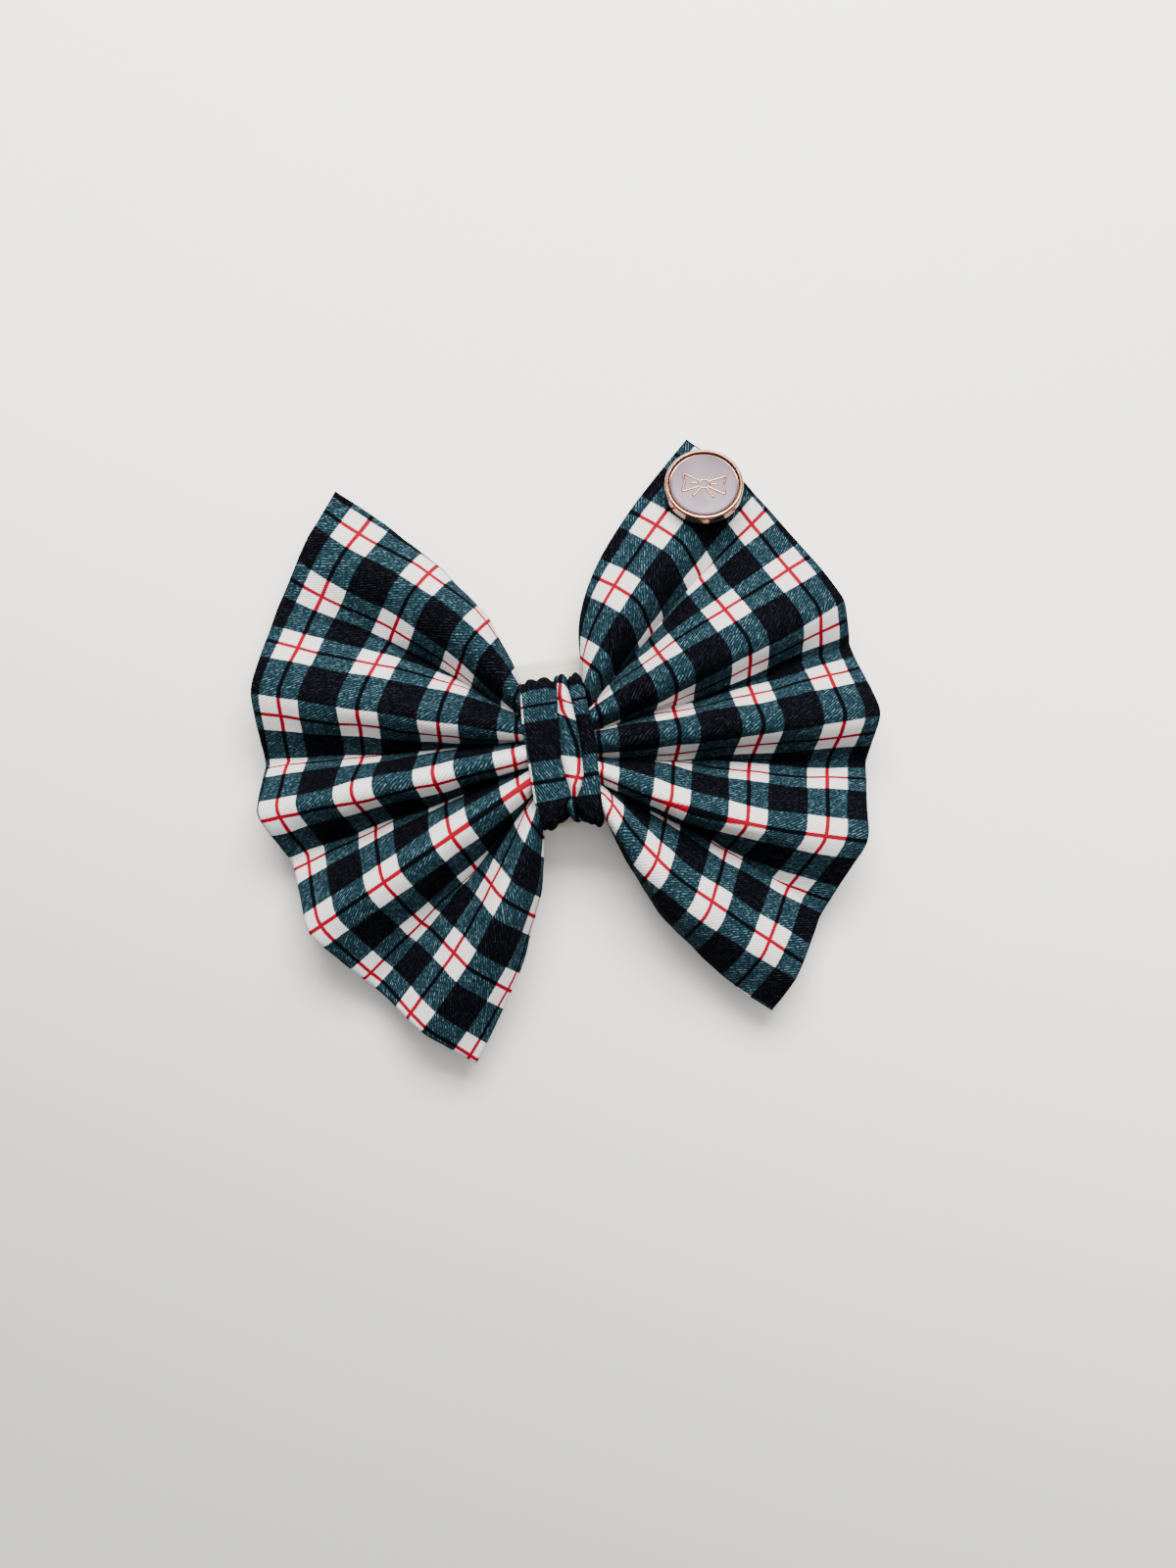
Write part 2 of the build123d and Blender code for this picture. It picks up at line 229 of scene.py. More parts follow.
class Shader:
    """A short way to write a material's nodes."""

    def __init__(self, name):
        self.material = bpy.data.materials.new(name)
        self.material.use_nodes = True
        self.tree = self.material.node_tree
        self.bsdf = next(n for n in self.tree.nodes if n.type == "BSDF_PRINCIPLED")

    def node(self, kind, **values):
        n = self.tree.nodes.new(kind)
        for k, v in values.items():
            setattr(n, k, v)
        return n

    def put(self, socket, value):
        if isinstance(value, bpy.types.NodeSocket):
            self.tree.links.new(value, socket)
        elif isinstance(value, (int, float)) and socket.type == "RGBA":
            socket.default_value = (value, value, value, 1)
        else:
            socket.default_value = value

    def math(self, operation, a, b=None, c=None, clamp=False):
        n = self.node("ShaderNodeMath", operation=operation, use_clamp=clamp)
        for i, v in enumerate((a, b, c)):
            if v is not None:
                self.put(n.inputs[i], v)
        return n.outputs[0]

    def step(self, value, low, high):
        """0 below low and 1 above high, smooth between; low may be above high."""
        n = self.node("ShaderNodeMapRange", interpolation_type="SMOOTHSTEP")
        self.put(n.inputs["Value"], value)
        self.put(n.inputs["From Min"], low)
        self.put(n.inputs["From Max"], high)
        return n.outputs[0]

    def mix(self, k, a, b, blend="MIX"):
        n = self.node("ShaderNodeMix", data_type="RGBA", blend_type=blend)
        self.put(n.inputs[0], k)
        self.put(n.inputs[6], a)
        self.put(n.inputs[7], b)
        return n.outputs[2]

    def noise(self, vector, scale, detail=2.0, roughness=0.5):
        n = self.node("ShaderNodeTexNoise")
        self.put(n.inputs["Vector"], vector)
        n.inputs["Scale"].default_value = scale
        n.inputs["Detail"].default_value = detail
        n.inputs["Roughness"].default_value = roughness
        return n.outputs[0]

    def vector(self, x, y, z=0.0):
        n = self.node("ShaderNodeCombineXYZ")
        for i, v in enumerate((x, y, z)):
            self.put(n.inputs[i], v)
        return n.outputs[0]

    def split(self, vector):
        n = self.node("ShaderNodeSeparateXYZ")
        self.put(n.inputs[0], vector)
        return n.outputs

    def uv(self, name):
        return self.node("ShaderNodeUVMap", uv_map=name).outputs[0]

    def place(self):
        return self.node("ShaderNodeTexCoord").outputs["Object"]

    def bump(self, height, distance, strength=1.0, normal=None):
        n = self.node("ShaderNodeBump")
        n.inputs["Strength"].default_value = strength
        n.inputs["Distance"].default_value = distance
        self.put(n.inputs["Height"], height)
        if normal is not None:
            self.put(n.inputs["Normal"], normal)
        return n.outputs[0]

    def finish(self, colour=None, normal=None, **sockets):
        if colour is not None:
            self.put(self.bsdf.inputs["Base Color"], colour)
        if normal is not None:
            self.put(self.bsdf.inputs["Normal"], normal)
        for name, value in sockets.items():
            self.put(self.bsdf.inputs[name.replace("_", " ")], value)
        return self.material


# ---- Materials -------------------------------------------------------------------------------------------

WHITE = (0.56, 0.540, 0.530, 1)
WHITE_GROOVE_SHADE = (0.26, 0.25, 0.255, 1)
TEAL = (0.0046, 0.0156, 0.0222, 1)
TEAL_PALE = (0.070, 0.132, 0.158, 1)
TEAL_DARK = (0.0016, 0.0055, 0.0090, 1)
NAVY = (0.0006, 0.0007, 0.0013, 1)
NAVY_PALE = (0.0092, 0.0102, 0.0150, 1)
RED = (0.180, 0.00010, 0.0085, 1)
LINE_BLACK = (0.0008, 0.0011, 0.0020, 1)


BAND_HALF = 0.25  # half a band's width, in repeats
BAND_SOFT = 0.008  # how softly a band ends
LINE_HALF = (0.034, 0.019)  # where a thin line has ended and where it is still full
COLUMN_CENTRE = 0.55  # the first white column's middle, in repeats
TWILL_ANGLE = 32  # degrees off the cloth's long way
TWILL_RIBS = 32.0  # ribs to a repeat


def plaid_material(name):
    s = Shader(name)
    at = s.uv("plaid")
    wobble = s.noise(at, 3.0, 2.0)
    fine = s.noise(at, 42.0, 2.0)
    u, v, _ = s.split(at)
    u = s.math("ADD", u, s.math("MULTIPLY_ADD", wobble, 0.010, -0.005))
    v = s.math("ADD", v, s.math("MULTIPLY_ADD", s.noise(at, 2.3, 2.0), 0.010, -0.005))
    shift = s.math("MULTIPLY_ADD", fine, 0.014, -0.007)

    def from_centre(x, centre):
        turned = s.math("FRACT", s.math("ADD", x, 0.5 - centre))
        return s.math("ABSOLUTE", s.math("SUBTRACT", turned, 0.5))

    du, dv = from_centre(u, COLUMN_CENTRE), from_centre(v, 0.0)
    band_u = s.step(s.math("ADD", du, shift), BAND_HALF + BAND_SOFT, BAND_HALF - BAND_SOFT)
    band_v = s.step(s.math("ADD", dv, shift), BAND_HALF + BAND_SOFT, BAND_HALF - BAND_SOFT)
    white = s.math("MULTIPLY", band_u, band_v)
    either = s.math("SUBTRACT", s.math("ADD", band_u, band_v), white, clamp=True)
    line_u = s.math("MULTIPLY", s.step(s.math("ADD", du, shift), *LINE_HALF), band_u)
    line_v = s.math("MULTIPLY", s.step(s.math("ADD", dv, shift), *LINE_HALF), band_v)
    line = s.math("MAXIMUM", line_u, line_v)

    # Twill: fine slanted ribs, broken up as yarns are.
    c, d = math.cos(math.radians(TWILL_ANGLE)), math.sin(math.radians(TWILL_ANGLE))
    along = s.math("ADD", s.math("MULTIPLY", u, c), s.math("MULTIPLY", v, -d))
    across = s.math("ADD", s.math("MULTIPLY", u, d), s.math("MULTIPLY", v, c))

    def streaks(a, b, detail=1.0, roughness=0.5):
        stretched = s.vector(s.math("MULTIPLY", along, a), s.math("MULTIPLY", across, b))
        return s.noise(stretched, 1.0, detail, roughness)

    uneven = streaks(14.0, 20.0, 2.0)
    rib_phase = s.math("MULTIPLY", across, 2 * math.pi * TWILL_RIBS)
    waves = s.math("SINE", s.math("ADD", rib_phase, s.math("MULTIPLY", uneven, 2.4)))
    twill = s.math("MULTIPLY_ADD", waves, 0.5, 0.5)
    fleck = streaks(24.0, 52.0, 1.0)
    slub = s.step(streaks(9.0, 27.0, 1.0), 0.40, 0.62)
    speck = streaks(60.0, 110.0, 1.0)
    lit = s.math("MULTIPLY", s.step(fleck, 0.42, 0.62), s.step(twill, 0.30, 0.85))
    lit = s.math("MULTIPLY", lit, s.math("MULTIPLY_ADD", slub, 0.85, 0.25))
    mottled = s.step(streaks(5.0, 9.0, 2.0), 0.3, 0.7)

    teal = s.mix(s.step(speck, 0.38, 0.60), TEAL_DARK, TEAL)
    teal = s.mix(s.math("MULTIPLY", lit, s.math("MULTIPLY_ADD", mottled, 0.5, 0.5)), teal, TEAL_PALE)
    navy = s.mix(s.math("MULTIPLY", lit, 0.9, clamp=True), NAVY, NAVY_PALE)
    # Painted shade: the white is painted darker in the grooves between the twill's ribs.
    between_ribs = s.step(twill, 0.70, 0.1)
    shaded = s.math("MULTIPLY", between_ribs, s.math("MULTIPLY_ADD", slub, -0.26, 0.62))
    white_cloth = s.mix(shaded, WHITE, WHITE_GROOVE_SHADE)
    cloth = s.mix(either, navy, teal)
    cloth = s.mix(white, cloth, white_cloth)
    cloth = s.mix(line, cloth, s.mix(white, LINE_BLACK, RED))
    height = s.math("ADD", s.math("MULTIPLY", twill, 0.8), s.math("MULTIPLY", fleck, 0.5))
    normal = s.bump(height, 0.00012, 0.6)
    m = s.finish(cloth, normal, Roughness=0.88)
    s.bsdf.inputs["Specular IOR Level"].default_value = 0.02
    return m


def woven_material(name, base, dark, along_scale, across_scale, rough=0.9):
    """A plain woven or ribbed band, from the piece's own two-way coordinates in millimetres."""
    s = Shader(name)
    at = s.uv("band")
    u, v, _ = s.split(at)
    ribs = s.math("SINE", s.math("MULTIPLY", v, 2 * math.pi / across_scale))
    picks = s.math("SINE", s.math("MULTIPLY", u, 2 * math.pi / along_scale))
    soft = s.noise(s.vector(s.math("MULTIPLY", u, 0.08), s.math("MULTIPLY", v, 0.5)), 2.0, 3.0)
    ribbed = s.math("MULTIPLY_ADD", ribs, 0.28, 0.5)
    both = s.math("MULTIPLY_ADD", s.math("MULTIPLY", ribs, picks), 0.22, ribbed)
    # Painted shade: the band is painted darker in the grooves between its ribs and picks.
    colour = s.mix(s.math("MULTIPLY", both, 0.5), dark, base)
    colour = s.mix(s.math("MULTIPLY_ADD", soft, 0.5, 0.35, clamp=True), colour, base)
    normal = s.bump(both, 0.00010, 0.5)
    m = s.finish(colour, normal, Roughness=rough)
    s.bsdf.inputs["Specular IOR Level"].default_value = 0.3
    s.bsdf.inputs["Sheen Weight"].default_value = 0.1
    return m


def plain_cloth_material(name, base, dark):
    s = Shader(name)
    at = s.place()
    fuzz = s.noise(at, 900.0, 4.0, 0.7)
    patch = s.noise(at, 160.0, 2.0)
    felted = s.math("MULTIPLY_ADD", fuzz, 0.7, s.math("MULTIPLY", patch, 0.3), clamp=True)
    colour = s.mix(felted, dark, base)
    return s.finish(colour, s.bump(fuzz, 0.0001, 0.5), Roughness=0.92)


THREAD_TWIST = 0.0006  # one turn of a thread's twist, in metres


def thread_material(name, base, dark):
    """Twisted sewing thread."""
    s = Shader(name)
    at = s.place()
    x, y, z = s.split(at)
    diagonal = s.math("ADD", s.math("ADD", x, y), z)
    twist = s.math("SINE", s.math("MULTIPLY", diagonal, 2 * math.pi / THREAD_TWIST))
    k = s.math("MULTIPLY_ADD", twist, 0.35, 0.55)
    fuzz = s.math("MULTIPLY", s.noise(at, 1500.0, 2.0), 0.2)
    # Painted shade: the thread is painted darker in the grooves of its twist.
    colour = s.mix(s.math("ADD", k, fuzz, clamp=True), dark, base)
    return s.finish(colour, s.bump(k, 0.00008, 0.7), Roughness=0.7)


def metal_material(name, colour, tint, roughness):
    s = Shader(name)
    at = s.place()
    smear = s.noise(at, 380.0, 3.0)
    fine = s.noise(at, 2600.0, 2.0)
    base = s.mix(s.step(smear, 0.35, 0.75), colour, tint)
    rough = s.math("MULTIPLY_ADD", smear, 0.14, roughness)
    return s.finish(base, s.bump(fine, 0.00002, 0.25), Metallic=1.0, Roughness=rough)


def enamel_material(name, colour, deep):
    s = Shader(name)
    at = s.place()
    cloud = s.noise(at, 210.0, 2.0)
    speck = s.noise(at, 3200.0, 1.0)
    base = s.mix(s.step(cloud, 0.3, 0.7), colour, deep)
    m = s.finish(base, s.bump(s.math("MULTIPLY_ADD", speck, 0.15, cloud), 0.00005, 0.3), Roughness=0.34)
    s.bsdf.inputs["Specular IOR Level"].default_value = 0.25
    return m


def rubber_material(name):
    s = Shader(name)
    at = s.place()
    grain = s.noise(at, 1400.0, 3.0)
    base = s.mix(grain, (0.010, 0.010, 0.011, 1), (0.030, 0.030, 0.032, 1))
    return s.finish(base, s.bump(grain, 0.00006, 0.4), Roughness=0.62)


plaid = plaid_material("plaid_twill")
stiffener = plain_cloth_material("stiffener_felt", (0.78, 0.77, 0.74, 1), (0.55, 0.54, 0.51, 1))
elastic = woven_material("ribbed_elastic", (0.57, 0.535, 0.455, 1), (0.36, 0.335, 0.28, 1), 0.9, 1.3)
pale_thread = thread_material("pale_thread", (0.74, 0.72, 0.68, 1), (0.40, 0.39, 0.36, 1))
dark_thread = thread_material("dark_thread", (0.030, 0.032, 0.045, 1), (0.006, 0.006, 0.010, 1))
rose_gold = metal_material("rose_gold", (0.42, 0.220, 0.150, 1), (0.27, 0.125, 0.080, 1), 0.10)
steel = metal_material("pin_steel", (0.60, 0.60, 0.60, 1), (0.48, 0.48, 0.49, 1), 0.28)
enamel = enamel_material("lilac_enamel", (0.132, 0.098, 0.124, 1), (0.104, 0.076, 0.100, 1))
rubber = rubber_material("clutch_rubber")

# ---- The pleated bow -------------------------------------------------------------------------------------
# Fold lines of each wing from the knot to the outer edge, top edge first: edge, ridge, valley ... edge.
# Each point is x, y, z and the line of the plaid it lies on, counted in repeats from the top edge.
LEFT_FOLDS = (
    (
        (-7.4, 14.8, 15.5, 0.65),
        (-10.0, 27.5, 15.5, 0.65),
        (-19.5, 43.0, 13.5, 0.65),
        (-30.5, 56.5, 11.5, 0.65),
        (-42.5, 68.0, 10.5, 0.65),
    ),
    (
        (-7.4, 12.6, 21.0, 1.4),
        (-16.5, 27.5, 23.5, 1.4),
        (-29.0, 41.0, 21.0, 1.4),
        (-43.5, 52.5, 15.5, 1.4),
        (-50.0, 58.5, 12.5, 1.4),
    ),
    (
        (-7.4, 8.6, 12.0, 2.45),
        (-21.5, 20.5, 11.5, 2.45),
        (-36.5, 31.0, 11.5, 2.45),
        (-60.0, 43.0, 11.5, 2.45),
    ),
    ((-7.4, 6.4, 22.0, 3.7), (-37.5, 15.5, 25.0, 3.7), (-68.5, 25.5, 17.0, 3.7)),
    ((-7.4, 3.6, 11.6, 4.85), (-27.0, 5.0, 11.0, 4.85), (-45.0, 6.5, 11.0, 4.85), (-68.5, 8.0, 8.0, 4.85)),
    ((-7.4, 1.2, 22.0, 5.9), (-40.0, -1.5, 25.5, 5.9), (-71.5, -3.0, 17.5, 5.9)),
    ((-7.4, -2.4, 11.6, 6.8), (-38.5, -8.5, 11.4, 6.8), (-66.0, -15.0, 8.0, 6.85)),
    ((-7.4, -5.0, 22.0, 8.0), (-35.5, -18.5, 25.0, 8.0), (-64.0, -32.0, 17.0, 8.0)),
    ((-7.4, -7.8, 12.0, 9.25), (-28.0, -27.0, 11.4, 9.25), (-51.5, -47.0, 8.5, 9.25)),
    (
        (-7.4, -12.6, 21.0, 10.3),
        (-15.5, -27.5, 23.0, 10.3),
        (-26.5, -43.0, 20.5, 10.3),
        (-41.5, -59.0, 14.0, 10.3),
    ),
    (
        (-7.4, -14.8, 15.5, 11.15),
        (-9.0, -24.5, 15.5, 11.15),
        (-17.0, -46.5, 13.5, 11.15),
        (-25.0, -59.5, 11.5, 11.15),
        (-31.0, -68.0, 9.5, 11.15),
    ),
)
RIGHT_FOLDS = (
    (
        (7.4, 14.8, 15.5, 0.6),
        (8.0, 27.0, 17.5, 0.6),
        (14.0, 40.5, 16.0, 0.6),
        (27.5, 56.0, 13.5, 0.6),
        (39.5, 67.0, 11.0, 0.6),
    ),
    ((7.4, 12.6, 21.0, 1.35), (20.5, 29.5, 22.5, 1.35), (32.5, 42.0, 19.0, 1.35), (49.0, 58.0, 12.4, 1.35)),
    ((7.4, 8.6, 12.0, 1.9), (26.5, 26.0, 11.5, 2.0), (36.5, 34.5, 11.5, 2.0), (56.5, 47.0, 12.0, 2.1)),
    ((7.4, 6.4, 22.0, 3.4), (35.5, 15.5, 25.0, 3.5), (69.5, 25.0, 16.0, 3.7)),
    ((7.4, 4.0, 11.6, 4.5), (38.0, 8.0, 11.4, 4.5), (69.5, 14.5, 9.0, 4.5)),
    ((7.4, 1.2, 22.0, 5.5), (42.0, -0.5, 25.5, 5.6), (73.5, -2.0, 17.5, 5.7)),
    ((7.4, -2.4, 11.6, 6.5), (39.5, -8.0, 11.4, 6.5), (69.0, -13.5, 8.0, 6.6)),
    ((7.4, -5.0, 22.0, 7.9), (37.0, -22.0, 25.0, 8.0), (66.0, -31.0, 17.0, 8.0)),
    ((7.4, -7.8, 12.0, 8.6), (21.0, -18.0, 11.5, 8.7), (34.5, -27.5, 11.4, 8.8), (53.0, -46.5, 9.0, 9.3)),
    (
        (7.4, -12.6, 21.0, 10.1),
        (15.0, -27.0, 23.0, 10.1),
        (26.5, -41.0, 21.0, 10.15),
        (45.5, -59.5, 13.0, 10.2),
    ),
    (
        (7.4, -14.8, 15.5, 10.75),
        (12.0, -29.0, 15.5, 10.75),
        (18.5, -42.5, 14.0, 10.75),
        (28.0, -56.0, 11.5, 10.75),
        (38.5, -66.5, 9.5, 10.8),
    ),
)
WAIST_Z = 16.9  # the middle of the waist's height
PLEAT_ROUND = 0.985  # how much of a quarter circle a tight pleat's side follows
RIM = 1.3  # how far in from the outer edge the turned seam rounds off
CLOTH_LAYER = (0.26, 0.72)  # a cloth's two faces, as distances from the bow's middle surface
STIFFENER_HALF = 0.17
SEAM_RADIUS = 0.17
# How far along the cloth the knot's edge is, and how much sooner each row of the plaid runs out, by row.
LEFT_ROOT = ((1, 0.40), (4, 0.42), (6, 0.34), (11, 0.34))
RIGHT_ROOT = ((1, 0.20), (2.5, 0.36), (4, 0.44), (6, 0.48), (8, 0.48), (10, 0.36))
LEFT_SLACK = ((1, 0.18), (3, 0.08), (5, 0.0), (8, 0.0), (9, -0.10), (10, 0.0))
RIGHT_SLACK = ((1, -0.08), (2, -0.05), (4, 0.0), (7, 0.09), (9, 0.11), (10.5, 0.05))
# How strongly the top and bottom edges roll under: left top, left bottom, right top, right bottom.
EDGE_ROLL = {(-1, 0): 1.0, (-1, 10): 0.7, (1, 0): 0.1, (1, 10): 1.0}


def by_row(table, row):
    rows, values = zip(*table)
    return np.interp(row, rows, values)


def outer_edge(side, row):
    """How far from the knot the cloth is cut, in repeats: not quite along the grain."""
    return 4.08 - 0.042 * row if side < 0 else 3.80 + 0.035 * row


def ripple(x, y, seed):
    """Soft unevenness from -1 to 1, the same each time."""
    r = np.random.default_rng(seed)
    total = np.zeros(np.broadcast(x, y).shape)
    for _ in range(7):
        fx, fy = r.uniform(0.25, 1.1, 2) * r.choice((-1, 1), 2)
        total = total + np.sin(2 * np.pi * (fx * x + fy * y) + r.uniform(0, 6.28))
    return total / 3.2


def wing_grid(side, along, across):
    """The cloth's middle surface over one wing and its plaid coordinates.

    It has along points out from the knot, and 10 panels of across steps from top to bottom.
    """
    lines = np.array([smooth_line(f, along) for f in (LEFT_FOLDS if side < 0 else RIGHT_FOLDS)])
    out = np.linspace(0, 1, along)
    lines, row = lines[..., :3], lines[..., 3]
    columns, rows_at = [], []
    for i in range(10):
        ridge, other = (i, i + 1) if i % 2 else (i + 1, i)
        k = np.linspace(0, 1, across + 1)
        k = 0.55 * k + 0.45 * np.sin(k * np.pi / 2)
        k[-1] = 1.0
        tau = k[None, :]
        a, b = lines[ridge][:, None, :], lines[other][:, None, :]
        edge_panel = other in (0, 10)
        s = out[:, None]
        if edge_panel:
            curl = EDGE_ROLL[side, other] * (1 - ease((s - 0.3) / 0.7) * 0.85)
            plan = lerp(tau, np.sin(tau * np.pi / 2), curl)
            drop = lerp(0.5 - 0.5 * np.cos(tau * np.pi), 1 - np.cos(tau * np.pi / 2), curl)
        else:
            plan = np.broadcast_to(tau, (along, across + 1))
            tight = 1 - np.sqrt(np.maximum(0, 1 - (PLEAT_ROUND * tau) ** 2))
            tight = tight / (1 - math.sqrt(1 - PLEAT_ROUND**2))
            loose = 0.5 - 0.5 * np.cos(tau * np.pi)
            drop = lerp(tight, loose, 0.22 + 0.58 * ease(s / 0.9))
        p = np.empty((along, across + 1, 3))
        p[..., :2] = a[..., :2] + (b[..., :2] - a[..., :2]) * plan[..., None]
        p[..., 2] = a[..., 2] + (b[..., 2] - a[..., 2]) * drop
        step = np.linalg.norm(np.diff(p, axis=1), axis=2)
        run = np.concatenate([np.zeros((along, 1)), np.cumsum(step, axis=1)], axis=1)
        share = run / run[:, -1:]
        cloth = np.abs(row[other] - row[ridge])[:, None] * PLAID
        true = np.minimum(run[:, -1:] / cloth, 1.0)
        share = true * share + (1 - true) * share**4
        v = row[ridge][:, None] + (row[other] - row[ridge])[:, None] * share
        if ridge > other:
            p, v = p[:, ::-1], v[:, ::-1]
        first = 0 if i == 0 else 1
        columns.append(p[:, first:])
        rows_at.append(v[:, first:])
    grid, v = np.concatenate(columns, axis=1), np.concatenate(rows_at, axis=1)
    for _ in range(across // 5):  # cloth turns over a fold without a corner
        grid[:, 1:-1] = (grid[:, :-2] + 2 * grid[:, 1:-1] + grid[:, 2:]) / 4
    root = by_row(LEFT_ROOT if side < 0 else RIGHT_ROOT, v)
    early = by_row(LEFT_SLACK if side < 0 else RIGHT_SLACK, v)
    share = out[:, None] * (1 + early * (1 - out[:, None]))
    u = root + (outer_edge(side, v) - root) * share
    return grid, u * side, v


def bow_grid(along, across):
    """The whole bow's middle surface, from the left wing's outer edge through the waist to the right's."""
    left, lu, lv = wing_grid(-1, along, across)
    right, ru, rv = wing_grid(1, along, across)
    inside = np.linspace(0, 1, 9)[1:-1][:, None]
    waist = left[:1] + (right[:1] - left[:1]) * inside[..., None]
    wu = lu[:1] + (ru[:1] - lu[:1]) * inside
    wv = lv[:1] + (rv[:1] - lv[:1]) * inside
    pinch = np.sin(inside * np.pi)
    waist[..., 1] = waist[..., 1] * (1 - 0.14 * pinch)
    waist[..., 2] = WAIST_Z + (waist[..., 2] - WAIST_Z) * (1 - 0.10 * pinch)
    grid = np.concatenate([left[::-1], waist, right])
    u, v = np.concatenate([lu[::-1], wu, ru]), np.concatenate([lv[::-1], wv, rv])
    free = ease((np.abs(u) - 0.5) / 0.9)
    normal = normals_of(grid)
    lift = 0.34 * ripple(u, v, 3) * free + 0.10 * ripple(2.3 * u, 2.6 * v, 8) * free
    near = np.exp(-(((np.abs(u) - 0.45) / 0.55) ** 2)) * ease((np.abs(u) - 0.40) / 0.1)
    lift = lift + 0.22 * near * np.sin(2 * np.pi * (1.45 * v + 0.2 * np.sin(2.1 * v)))
    grid = grid + normal * lift[..., None]
    return grid, u, v


def rounding(u, v):
    """1 inside the wings and 0 at their edges, where the two cloths are seamed or folded together."""
    side = np.where(u < 0, -1, 1)
    cut = np.where(side < 0, outer_edge(-1, v), outer_edge(1, v))
    from_cut = (cut - np.abs(u)) * PLAID
    top = np.broadcast_to(v[:, :1], v.shape)
    bottom = np.broadcast_to(v[:, -1:], v.shape)
    from_fold = np.minimum(v - top, bottom - v) * PLAID
    near = np.clip(np.minimum(from_cut, from_fold) / RIM, 0, 1)
    return np.sqrt(np.maximum(0, 1 - (1 - near) ** 2))


def cloth_piece(name, low, high, grid, u, v):
    """A thin closed cloth between two distances from the middle surface."""
    normal = normals_of(grid)
    normal = normal * np.sign(normal[..., 2].mean())
    full = rounding(u, v)[..., None]
    inner = grid + normal * (low * full)
    outer = grid + normal * (high * (0.22 + 0.78 * full))
    if high < 0:
        inner, outer = outer, inner
    points, faces = shell(outer, inner)
    # The left wing's columns are counted the other way, which moves them by a tenth of a repeat.
    uv_points = np.stack([np.where(u < 0, u + 0.1, u), v], 2).reshape(-1, 2)
    uv_points = np.concatenate([uv_points, uv_points])
    uv = uv_points[faces.ravel()]
    # The grid runs left to right and top to bottom, so its first side faces down.
    return mesh_object(name, points, faces[:, ::-1], uv.reshape(-1, 4, 2)[:, ::-1].reshape(-1, 2))


grid, gu, gv = bow_grid(110, 15)
near, far = CLOTH_LAYER
front = cloth_piece("front_cloth", near, far, grid, gu, gv)
back = cloth_piece("back_cloth", -near, -far, grid, gu, gv)
for piece, node in ((front, "bow_front_layer"), (back, "bow_back_layer")):
    piece.data.materials.append(plaid)
    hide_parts(node)

coarse, cu, cv = bow_grid(56, 8)
inset = (slice(2, -2), slice(2, -2))
felt = cloth_piece("stiffener", -STIFFENER_HALF, STIFFENER_HALF, coarse[inset], cu[inset], cv[inset])
felt.data.materials.append(stiffener)
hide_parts("bow_interfacing")

# The seam that closes each wing's outer edge runs between the two cloths.
seams = [tube(grid[row, 4:-4], SEAM_RADIUS) for row in (4, -5)]
seam_points, seam_faces = joined(seams)
seam = mesh_object("seam_thread", seam_points, seam_faces)
seam.data.materials.append(pale_thread)
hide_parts("edge_seam_thread")

for piece in (front, back, felt, seam):
    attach(piece, "bow")

# ---- The knot --------------------------------------------------------------------------------------------
KNOT_INSIDE = (15.3, 10.55, 23.1, 4.0)  # half height, back, front, corner radius


def knot_path(count):
    """Round the knot from the middle of its front, down, behind and up again.

    Gives count points, their outward directions, their running lengths and the whole length.
    """
    half, low, high, r = KNOT_INSIDE
    pts, out = [], []
    flat_y = half - r
    pieces = [
        ("line", (0, high), (-flat_y, high), (0, 1)),
        ("arc", (-flat_y, high - r), 90),
        ("line", (-half, high - r), (-half, low + r), (-1, 0)),
        ("arc", (-flat_y, low + r), 180),
        ("line", (-flat_y, low), (flat_y, low), (0, -1)),
        ("arc", (flat_y, low + r), 270),
        ("line", (half, low + r), (half, high - r), (1, 0)),
        ("arc", (flat_y, high - r), 0),
        ("line", (flat_y, high), (0, high), (0, 1)),
    ]
    for p in pieces:
        if p[0] == "line":
            for k in np.linspace(0, 1, 60, endpoint=False):
                pts.append((lerp(p[1][0], p[2][0], k), lerp(p[1][1], p[2][1], k)))
                out.append(p[3])
        else:
            for a in np.radians(p[2] + np.linspace(0, 90, 40, endpoint=False)):
                pts.append((p[1][0] + r * math.cos(a), p[1][1] + r * math.sin(a)))
                out.append((math.cos(a), math.sin(a)))
    pts, out = np.array(pts), np.array(out)
    close = np.concatenate([pts, pts[:1]]), np.concatenate([out, out[:1]])
    run = np.concatenate([[0], np.cumsum(np.linalg.norm(np.diff(close[0], axis=0), axis=1))])
    want = np.linspace(0, run[-1], count, endpoint=False)
    p = np.stack([np.interp(want, run, close[0][:, k]) for k in range(2)], 1)
    o = np.stack([np.interp(want, run, close[1][:, k]) for k in range(2)], 1)
    o /= np.linalg.norm(o, axis=1, keepdims=True)
    return p, o, want, run[-1]


KNOT_PLAID = 18.4  # one repeat of the plaid on the knot's stretched strip
# How far the knot's foot is drawn up, by place across it.
FOOT_DRAWN = ((-7.4, -0.3), (-4, 0.8), (-0.9, 2.3), (0.6, 1.9), (3, 0.5), (5.5, -0.6), (7.4, -1.0))


